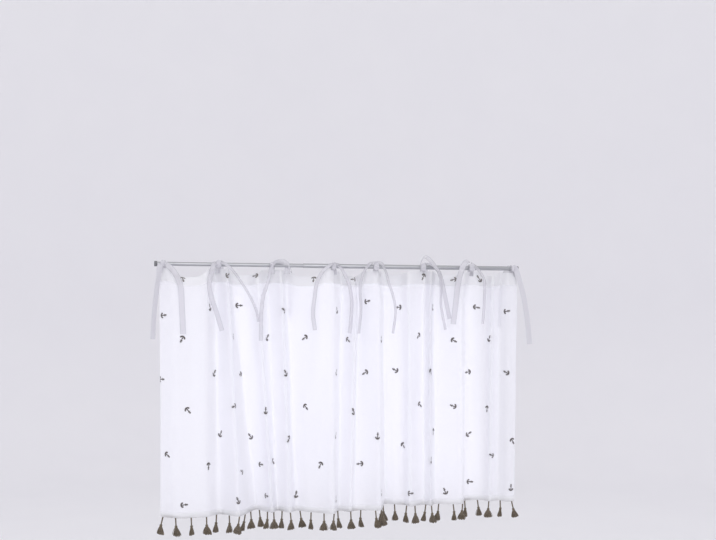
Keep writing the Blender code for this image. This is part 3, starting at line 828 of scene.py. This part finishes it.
def knot(name, place, halfWidth, halfHeight):
    # a pad of gathered tape, wider below than above, with pleats that run up it
    sphere = bpy.ops.mesh.primitive_uv_sphere_add
    pad = addObject(sphere, name, segments=56, ring_count=28, radius=1)
    bpy.ops.object.mode_set(mode="EDIT")
    bpy.ops.mesh.select_all(action="SELECT")
    bpy.ops.transform.resize(value=(halfWidth, tape["knotDepth"], halfHeight))
    bpy.ops.object.mode_set(mode="OBJECT")
    for vertex in pad.data.vertices:
        up = vertex.co.z / halfHeight
        beside = vertex.co.x / halfWidth
        pleat = 0.13 * math.sin(10 * beside + 2.5 * up) + 0.05 * math.sin(17 * beside - 4 * up)
        pinch = math.exp(-((up / 0.45) ** 2))
        vertex.co.x *= 1.0 - 0.16 * up - 0.20 * pinch
        vertex.co.y *= 1 + pleat
    pad.location = place
    settle(pad, 70)
    # the gathered pad is painted greyer as shade
    markShadeAndDensity(pad)
    return pad


def knotWrap(name, place, halfWidth, slant):
    # the strand that goes round the gathered tape
    route = []
    for angle in np.linspace(1.9, -1.9, 26):
        beside = math.sin(angle) * (halfWidth * 0.80 + 0.8 * mm)
        out = math.cos(angle) * (tape["knotDepth"] + 1.2 * mm)
        route.append(Vector(place) + Vector((beside, -out, slant * beside)))
    widths = tape["wrapped"] * (1 - 0.25 * np.abs(np.linspace(-1, 1, len(route))))
    strip, length = ribbon(name, route, [0.0] * len(route), widths, Vector((0, 0, 1)))
    # the wrap is painted greyer as shade too
    markShadeAndDensity(strip)
    return strip, length


def makeTie(number, tie, material):
    name = f"tapeTie{number + 1}"
    across, lean, knotAcross, knotUp, halfWidth, halfHeight = (
        value * cm for value in (tie[0], *tie[4:])
    )
    knotAcross += across
    rodRadius = tape["rodRadius"] + tape["rodGap"] + tape["thickness"] / 2
    sewnUp = -cloth["topBelowRod"] - tape["sewnBelowTop"]
    behind = tape["thickness"] / 2 + cloth["doubledThickness"] / 2 + 0.3 * mm
    widthStart = Vector((1, 0, 0))
    foot = across - lean if lean > 1 * cm else knotAcross
    frontRoute = [  # from the back of the heading over its edge, then up before the rod
        (foot, behind + tape["thickness"] + 0.2 * mm, sewnUp),
        (foot, behind, -cloth["topBelowRod"] + 1.2 * mm),
        (foot, -rodRadius, -1.5 * mm),
        (knotAcross, -rodRadius - 0.4 * mm, 2.0 * mm),
        (knotAcross, -tape["knotOut"] + 2 * mm, knotUp + halfHeight * 0.5),
    ]
    backRoute = [
        (across + lean, behind, sewnUp),
        (across + lean, behind, -cloth["topBelowRod"]),
        (across + lean, rodRadius, -1.5 * mm),
        (across + lean * 0.9, rodRadius * 0.8, rodRadius * 0.75),
        (across + lean * 0.7, 0, rodRadius + 0.4 * mm),
        (knotAcross + 0.3 * lean, -tape["knotOut"] + 3 * mm, knotUp + halfHeight * 0.6),
    ]
    pieces, total = [], 0.0
    for part, route, narrow in (("front", frontRoute, 0.9), ("back", backRoute, 0.5)):
        path = softPath([Vector(point) for point in route], tape["strandRows"])
        widths = np.linspace(1, narrow, len(path))
        widths[-8:] = np.linspace(widths[-9], tape["gathered"], 8)
        strip, length = ribbon(name + part, path, [0.0] * len(path), widths, widthStart)
        pieces.append(strip)
        total += length
    for index, tail in enumerate(t for t in tails if t[0] == number):
        path = tailPath(tie, tail)
        ease = np.clip(np.linspace(0, 2.6, len(path)), 0, 1)
        ease = ease * ease * (3 - 2 * ease)
        angles = [math.radians(tail[3] + (tail[4] - tail[3]) * share) for share in ease]
        widths = tape["gathered"] + (1 - tape["gathered"]) * np.clip(ease * 3, 0, 1)
        strip, length = ribbon(f"{name}end{index}", path, angles, widths)
        # an end that hangs beside the cloth, not over it, is painted greyer as shade
        if not clothPoints[-1, 0, 0] < path[-1].x < clothPoints[-1, -1, 0]:
            markShadeAndDensity(strip)
        pieces.append(strip)
        total += length
    place = (knotAcross, -tape["knotOut"], knotUp)
    pieces.append(knot(f"{name}knot", place, halfWidth, halfHeight))
    slant = 0.45 if number % 2 else -0.35
    strip, length = knotWrap(f"{name}wrap", place, halfWidth, slant)
    pieces.append(strip)
    total += length
    obj = joinAll(pieces, name)
    settle(obj, 50)
    dress(obj, material, "tape")
    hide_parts(f"tie_{number + 1}")
    return obj


def tapeMaterial():
    # cotton twill tape, woven narrow: matt, softly ribbed along its length, with firm selvedges
    material, add = newMaterial("cotton twill tape, woven")
    uv = add("UVMap", uv_map="UVMap")
    parts = add("SeparateXYZ", [uv])
    across, along = parts.outputs["X"], parts.outputs["Y"]
    turn = 2 * math.pi / tape["ribPitch"]
    slant = add("Math", (along, across), operation="ADD")
    rib = add("Math", (slant, turn), operation="MULTIPLY")
    rib = add("Math", [rib], operation="SINE")
    place = add("TexCoord").outputs["Object"]
    fuzz = add("TexNoise", {"Vector": place, "Scale": 900.0, "Detail": 2.0})
    relief = add("Math", (rib, 0.25, fuzz), operation="MULTIPLY_ADD")
    bump = add("Bump", {"Height": relief, "Strength": 0.4, "Distance": 0.2 * mm})

    # painted shade at the selvedges, then the tape's own tone between them, painted shade along
    # its ribs, and painted shade where it is gathered or hangs clear of the cloth
    middle, halfWidth = tape["width"] / 2, tape["width"] * 0.42
    between = add("Math", (across, middle, halfWidth), operation="COMPARE")
    # painted shade that follows the ribs' relief
    shade = add("Math", (rib, 0.16, 0.16), operation="MULTIPLY_ADD")
    # 1 where the tape is painted greyer as shade, at the knots and the ends clear of the cloth
    layersAndShade = add("Attribute", attribute_name="layersAndShade").outputs["Fac"]
    colour = tape["edgeShade"]
    for factor, over in ((between, "colour"), (shade, "twill"), (layersAndShade, "layeredAndShaded")):
        layer = add("Mix", {0: factor, 6: colour, 7: tape[over]}, data_type="RGBA")
        colour = layer.outputs[2]
    thin = add("Math", (1.0, layersAndShade), operation="SUBTRACT")
    thinner = tape["lightThrough"] - tape["lightThroughKnot"]
    share = add("Math", (thin, thinner, tape["lightThroughKnot"]), operation="MULTIPLY_ADD")
    opening = tape["gaps"] - tape["gapsSelvedge"]
    gaps = add("Math", (between, opening, tape["gapsSelvedge"]), operation="MULTIPLY_ADD")
    gaps = add("Math", (gaps, thin), operation="MULTIPLY")
    sheerCotton(add, colour, bump, share, gaps, 0.5)
    return material


tapeCloth = tapeMaterial()
tapeTies = [makeTie(number, tie, tapeCloth) for number, tie in enumerate(ties)]
print("ties made:", len(tapeTies))


# braid and tassels

braid = {
    "height": 5 * mm,
    "thickness": 1.0 * mm,
    "shows": 0.1 * mm,
    "showsMore": 0.5 * mm,  # where the hem curls up a little
    "behind": 1.7 * mm,
    "columns": 1100,
    "rows": 5,
    "platPitch": 3.2 * mm,
    "colour": "#7C7169",
}

tassel = {
    "pitch": 3.75 * cm,
    "first": 0.6 * cm,
    "count": 38,
    "cordLength": 19 * mm,
    "cordRadius": 1.8 * mm,
    "plies": 3,
    "plyShare": 0.54,  # a ply's radius, as a share of the cord's
    "plyTurn": 6.5 * mm,
    "headRadius": 3.5 * mm,
    "headLength": 5 * mm,
    "windings": 5,
    "windingRadius": 0.62 * mm,
    "strands": 110,
    "strandRadius": 0.55 * mm,
    "strandLength": 19.0 * mm,
    "strandTurn": 2.39996,  # from one to the next round the neck, which spreads them evenly
    "skirtRadius": 10.0 * mm,
    "open": 0.84,  # how wide a skirt stands, and by how much that varies
    "openVaries": 0.26,
    "sidewards": 11,  # degrees, at most, that a skirt and a whole tassel hang askew
    "forwards": 4,
    "colour": "#7E7262",
}

# how far each tassel swings to the right, in degrees, left to right
leans = [
    -13, 3, 2, 1, -3, 2, -8, -9, 4, 5, -1, 3, -3, 5, 8, -2, 1, -5, 3, 2,
    -2, 6, 9, -11, 2, 4, -5, 3, -9, 5, -4, 7, -6, 3, 8, -3, 2, 12,
]


def yarnMaterial(name, colour, pitch):
    # cotton yarn, spun and dyed: matt and fuzzy, its tone uneven from strand to strand
    material, add = newMaterial(name)
    place = add("TexCoord").outputs["Object"]
    strands = add("TexNoise", {"Vector": place, "Scale": 420.0, "Detail": 3.0})
    ramp = add("ValToRGB", {"Fac": strands})
    dark = [channel * 0.5 for channel in toLinear(colour)[:3]]
    ramp.color_ramp.elements[0].position = 0.3
    ramp.color_ramp.elements[0].color = (*dark, 1)
    ramp.color_ramp.elements[1].position = 0.7
    ramp.color_ramp.elements[1].color = toLinear(colour)
    fibre = add("TexNoise", {"Vector": place, "Scale": 1 / pitch, "Detail": 3.0})
    bump = add("Bump", {"Height": fibre, "Strength": 0.6, "Distance": 0.3 * mm})
    yarn = add("BsdfPrincipled", {
        "Base Color": ramp, "Roughness": 0.95, "Specular IOR Level": 0.15,
        "Sheen Weight": 0.35, "Sheen Roughness": 0.5, "Normal": bump,
    })
    add("OutputMaterial", [yarn])
    return material


def makeBraid():
    # a plaited strip behind the hem, of which a little shows under it
    distances = np.linspace(0, cloth["flatWidth"], braid["columns"])
    low = 1 + braid["shows"] / clothDrop
    high = low - braid["height"] / clothDrop
    heights = np.linspace(low, high, braid["rows"])
    points = np.stack([clothLine(height, distances) for height in heights])
    normals = faceNormals(points)
    if normals[0, :, 1].mean() < 0:  # to the back of the cloth
        normals = -normals
    plat = np.abs(np.sin(distances * math.pi / braid["platPitch"]))
    points = points + normals * braid["behind"]
    points[0, :, 2] -= 0.5 * mm * (plat - 0.5)
    points[:, :, 2] -= braid["showsMore"] * np.sin(distances / (5.2 * cm))
    strip = gridSheet("tasselBraid", points, (cloth["flatWidth"], braid["height"]))
    thicken(strip, braid["thickness"])
    settle(strip, 60)
    return strip, distances, points[0]


def yarnCurve(name, points, radius, roundness):
    # a soft line of yarn through the points, still a curve
    curve = bpy.data.curves.new(name, "CURVE")
    curve.dimensions = "3D"
    curve.bevel_depth = radius
    curve.bevel_resolution = roundness
    curve.use_fill_caps = True
    spline = curve.splines.new("POLY")
    spline.points.add(len(points) - 1)
    for target, point in zip(spline.points, points):
        target.co = (*point, 1)
    obj = bpy.data.objects.new(name, curve)
    bpy.context.scene.collection.objects.link(obj)
    return obj


def toMeshes(objects):
    pick(objects)
    bpy.ops.object.convert(target="MESH")
    return list(bpy.context.selected_objects)


def strandMesh():
    # one length of yarn, upright and open to be bent
    heights = np.linspace(0, -tassel["strandLength"], 7)
    line = yarnCurve("strand", [(0, 0, height) for height in heights], tassel["strandRadius"], 1)
    return toMeshes([line])[0]


def twistedCord(name):
    # plies laid round each other, from the braid down to the head
    plies = []
    plyRadius = tassel["cordRadius"] * tassel["plyShare"]
    out = tassel["cordRadius"] - plyRadius
    turns = tassel["cordLength"] / tassel["plyTurn"]
    for ply in range(tassel["plies"]):
        points = []
        for share in np.linspace(0, 1, 28):
            angle = 2 * math.pi * (share * turns + ply / tassel["plies"])
            down = -share * (tassel["cordLength"] + 1 * mm)
            points.append((out * math.cos(angle), out * math.sin(angle), down))
        plies.append(yarnCurve(f"{name}ply{ply}", points, plyRadius, 2))
    return toMeshes(plies)


def windings():
    # the yarn wound round the tassel's neck, over a small core
    top = -tassel["cordLength"]
    middle = (0, 0, top - tassel["headLength"] / 2)
    sphere = bpy.ops.mesh.primitive_uv_sphere_add
    core = addObject(sphere, "core", segments=14, ring_count=8, radius=1, location=middle)
    bpy.ops.object.mode_set(mode="EDIT")
    bpy.ops.mesh.select_all(action="SELECT")
    wide = tassel["headRadius"] - 0.7 * mm
    size = (wide, wide, tassel["headLength"] * 0.62)
    bpy.ops.transform.resize(value=size, center_override=middle)
    bpy.ops.object.mode_set(mode="OBJECT")
    pieces = [core]
    for turn in range(tassel["windings"]):
        share = (turn + 0.5) / tassel["windings"]
        swell = 0.86 + 0.16 * math.sin(math.pi * share)
        ring = addObject(
            bpy.ops.mesh.primitive_torus_add,
            "winding",
            major_segments=18,
            minor_segments=6,
            major_radius=tassel["headRadius"] * swell - 0.6 * mm,
            minor_radius=tassel["windingRadius"],
            location=(0, 0, top - tassel["headLength"] * share),
            rotation=(0.10, 0, 0),
        )
        pieces.append(ring)
    return pieces


def makeMaster(seed, strand):
    chance = np.random.default_rng(seed)
    pieces = twistedCord(f"tasselModel{seed}") + windings()
    source = readPoints(strand.data)
    share = -source[:, 2] / tassel["strandLength"]
    neck = -tassel["cordLength"] - tassel["headLength"] * 0.8
    for index in range(tassel["strands"]):
        # strands are spread evenly over the neck, the outer ones fanning out the most
        ring = math.sqrt((index + 0.5) / tassel["strands"])
        angle = index * tassel["strandTurn"] + chance.normal(0, 0.12)
        length = 1 + chance.normal(0, 0.045) - 0.06 * ring
        fan = tassel["skirtRadius"] * ring * (1 + chance.normal(0, 0.10))
        begin = (tassel["headRadius"] - 0.9 * mm) * ring
        out = begin + (fan - begin) * (1 - (1 - share) ** 1.6)
        curl = 0.5 * mm * np.sin(share * chance.uniform(3, 6) + chance.uniform(0, 6))
        points = source.copy()
        points[:, 0] += out * math.cos(angle) - curl * math.sin(angle)
        points[:, 1] += out * math.sin(angle) + curl * math.cos(angle)
        points[:, 2] = points[:, 2] * length + neck
        copy = strand.copy()
        copy.data = strand.data.copy()
        writePoints(copy.data, points)
        bpy.context.scene.collection.objects.link(copy)
        pieces.append(copy)
    master = joinAll(pieces, f"tasselModel{seed}")
    settle(master, 65)
    return master


def makeTassels(material, distances, edge):
    strand = strandMesh()
    masters = [makeMaster(seed, strand) for seed in (3, 8, 21)]
    made = []
    for number in range(tassel["count"]):
        distance = tassel["first"] + tassel["pitch"] * number
        top = Vector([np.interp(distance, distances, edge[:, axis]) for axis in range(3)])
        master = masters[number % len(masters)]
        points = readPoints(master.data)
        # some skirts stay closed and others open, and most hang a little to one side
        spread = tassel["open"] + tassel["openVaries"] * math.sin(2.4 * number)
        drop = -points[:, 2] - tassel["cordLength"]
        share = np.clip(drop / tassel["headLength"] - 0.6, 0, 1)
        points[:, 0] *= 1 + (spread * 1.08 - 1) * share
        points[:, 1] *= 1 + (spread * 0.9 - 1) * share
        tilt = math.tan(math.radians(tassel["sidewards"] * math.sin(4.1 * number + 1)))
        points[:, 0] += tilt * np.clip(drop - tassel["headLength"] * 0.6, 0, None)
        points[:, 2] -= 0.35 * tilt * points[:, 0] * share
        lean = Matrix.Rotation(math.radians(-leans[number]), 3, "Y")
        forwards = math.radians(tassel["forwards"] * math.sin(1.3 * number))
        tip = Matrix.Rotation(forwards, 3, "X")
        spin = Matrix.Rotation(1.9 * number, 3, "Z")
        turn = np.array(lean @ tip @ spin)
        points = points @ turn.T + np.array(top)
        points[:, 2] += 0.4 * mm  # the cord's top is sewn into the braid
        copy = bpy.data.objects.new(f"tassel{number + 1:02d}", master.data.copy())
        writePoints(copy.data, points)
        bpy.context.scene.collection.objects.link(copy)
        dress(copy, material, "yarn")
        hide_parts(f"tassel_{number + 1:02d}")
        made.append(copy)
    for obj in [strand, *masters]:
        bpy.data.objects.remove(obj, do_unlink=True)
    return made


braidStrip, braidDistances, braidEdge = makeBraid()
dress(braidStrip, yarnMaterial("cotton gimp braid, plaited", braid["colour"], 1.0 * mm), "yarn")
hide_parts("braid")
tassels = makeTassels(
    yarnMaterial("cotton yarn, spun and dyed", tassel["colour"], 0.8 * mm),
    braidDistances,
    braidEdge,
)
print("braid and tassels made:", len(tassels))


# rod and end caps

rod = {
    "sides": 72,
    "lip": 0.35 * mm,
    "colour": "#B8B9BC",
    "drawnLines": "#A6A7AB",
    "capColour": "#7C7D80",
    "capGrain": "#6C6D70",
    "capEdge": 0.9 * mm,
}


def editFaces(mesh, chosen):
    # to edit mode, with only the chosen faces selected
    bpy.ops.object.mode_set(mode="EDIT")
    bpy.ops.mesh.select_mode(type="FACE")
    bpy.ops.mesh.select_all(action="DESELECT")
    bpy.ops.object.mode_set(mode="OBJECT")
    for face in mesh.polygons:
        face.select = chosen(face)
    bpy.ops.object.mode_set(mode="EDIT")


def roundBar(name, node, edge, bore):
    # a bar along the rod's axis in the node's own place, its rims rounded and, where a bore is
    # given, hollowed from one end: which end (-1 left, 1 right), radius and depth
    low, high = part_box(node)
    radius = (high[2] - low[2]) / 2
    bar = addObject(
        bpy.ops.mesh.primitive_cylinder_add,
        name,
        vertices=rod["sides"],
        radius=radius,
        depth=high[0] - low[0],
        location=((low[0] + high[0]) / 2, 0, 0),
        rotation=(0, math.radians(90), 0),
    )
    bpy.ops.object.transform_apply(location=True, rotation=True)
    editFaces(bar.data, lambda face: abs(face.normal.x) > 0.9)
    bpy.ops.mesh.region_to_loop()
    bpy.ops.mesh.bevel(offset=edge, segments=4, affect="EDGES")
    if bore:
        side, boreRadius, depth = bore
        editFaces(bar.data, lambda face: face.normal.x * side > 0.9 and len(face.vertices) > 8)
        bpy.ops.mesh.inset(thickness=radius - edge - boreRadius)
        bpy.ops.mesh.extrude_region_move(
            TRANSFORM_OT_translate={"value": (-side * depth, 0, 0)}
        )
    bpy.ops.object.mode_set(mode="OBJECT")
    settle(bar, 35)
    return bar


def chromeMaterial():
    # thin steel tube, chrome plated and polished: grey mirror with faint drawing lines
    material, add = newMaterial("steel tube, chrome plated")
    place = add("TexCoord").outputs["Object"]
    drawn = add("Mapping", {"Vector": place, "Scale": (6, 2400, 2400)})
    lines = add("TexNoise", {"Vector": drawn, "Scale": 1.0, "Detail": 3.0})
    smear = add("TexNoise", {"Vector": place, "Scale": 30.0, "Detail": 2.0})
    span = {"From Min": 0.3, "From Max": 0.7, "To Min": 0.30, "To Max": 0.42}
    rough = add("MapRange", {"Value": smear, **span})
    tone = add("Mix", {0: lines, 6: rod["drawnLines"], 7: rod["colour"]}, data_type="RGBA")
    bump = add("Bump", {"Height": lines, "Strength": 0.1, "Distance": 0.05 * mm})
    steel = add("BsdfPrincipled", {
        "Base Color": tone.outputs[2], "Metallic": 1.0, "Roughness": rough, "Normal": bump,
    })
    add("OutputMaterial", [steel])
    return material


def capMaterial():
    # nylon, moulded: grey, matt, with a fine grain and dusty high spots
    material, add = newMaterial("nylon end cap, moulded")
    place = add("TexCoord").outputs["Object"]
    grain = add("TexNoise", {"Vector": place, "Scale": 1500.0, "Detail": 2.0})
    dust = add("TexNoise", {"Vector": place, "Scale": 220.0, "Detail": 3.0})
    tone = add("Mix", {0: dust, 6: rod["capGrain"], 7: rod["capColour"]}, data_type="RGBA")
    bump = add("Bump", {"Height": grain, "Strength": 0.3, "Distance": 0.1 * mm})
    surface = {"Base Color": tone.outputs[2], "Roughness": 0.7, "Normal": bump}
    nylon = add("BsdfPrincipled", surface)
    add("OutputMaterial", [nylon])
    return material


def makeRod():
    chrome, nylon = chromeMaterial(), capMaterial()
    # piece, node, radius of its edge, and its bore where it has one
    bars = [
        ("rodInnerTube", "rod_inner", rod["lip"], None),
        ("rodOuterTube", "rod_outer", rod["lip"], (-1, 5.05 * mm, 6 * cm)),
        ("capLeft", "cap_left", rod["capEdge"], (1, 5.0 * mm, 5 * mm)),
        ("capRight", "cap_right", rod["capEdge"], (-1, 5.6 * mm, 5 * mm)),
    ]
    for name, node, edge, bore in bars:
        bar = roundBar(name, node, edge, bore)
        isCap = node.startswith("cap")
        dress(bar, nylon if isCap else chrome, "caps" if isCap else "rod")
        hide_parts(node)


makeRod()
print("rod made")
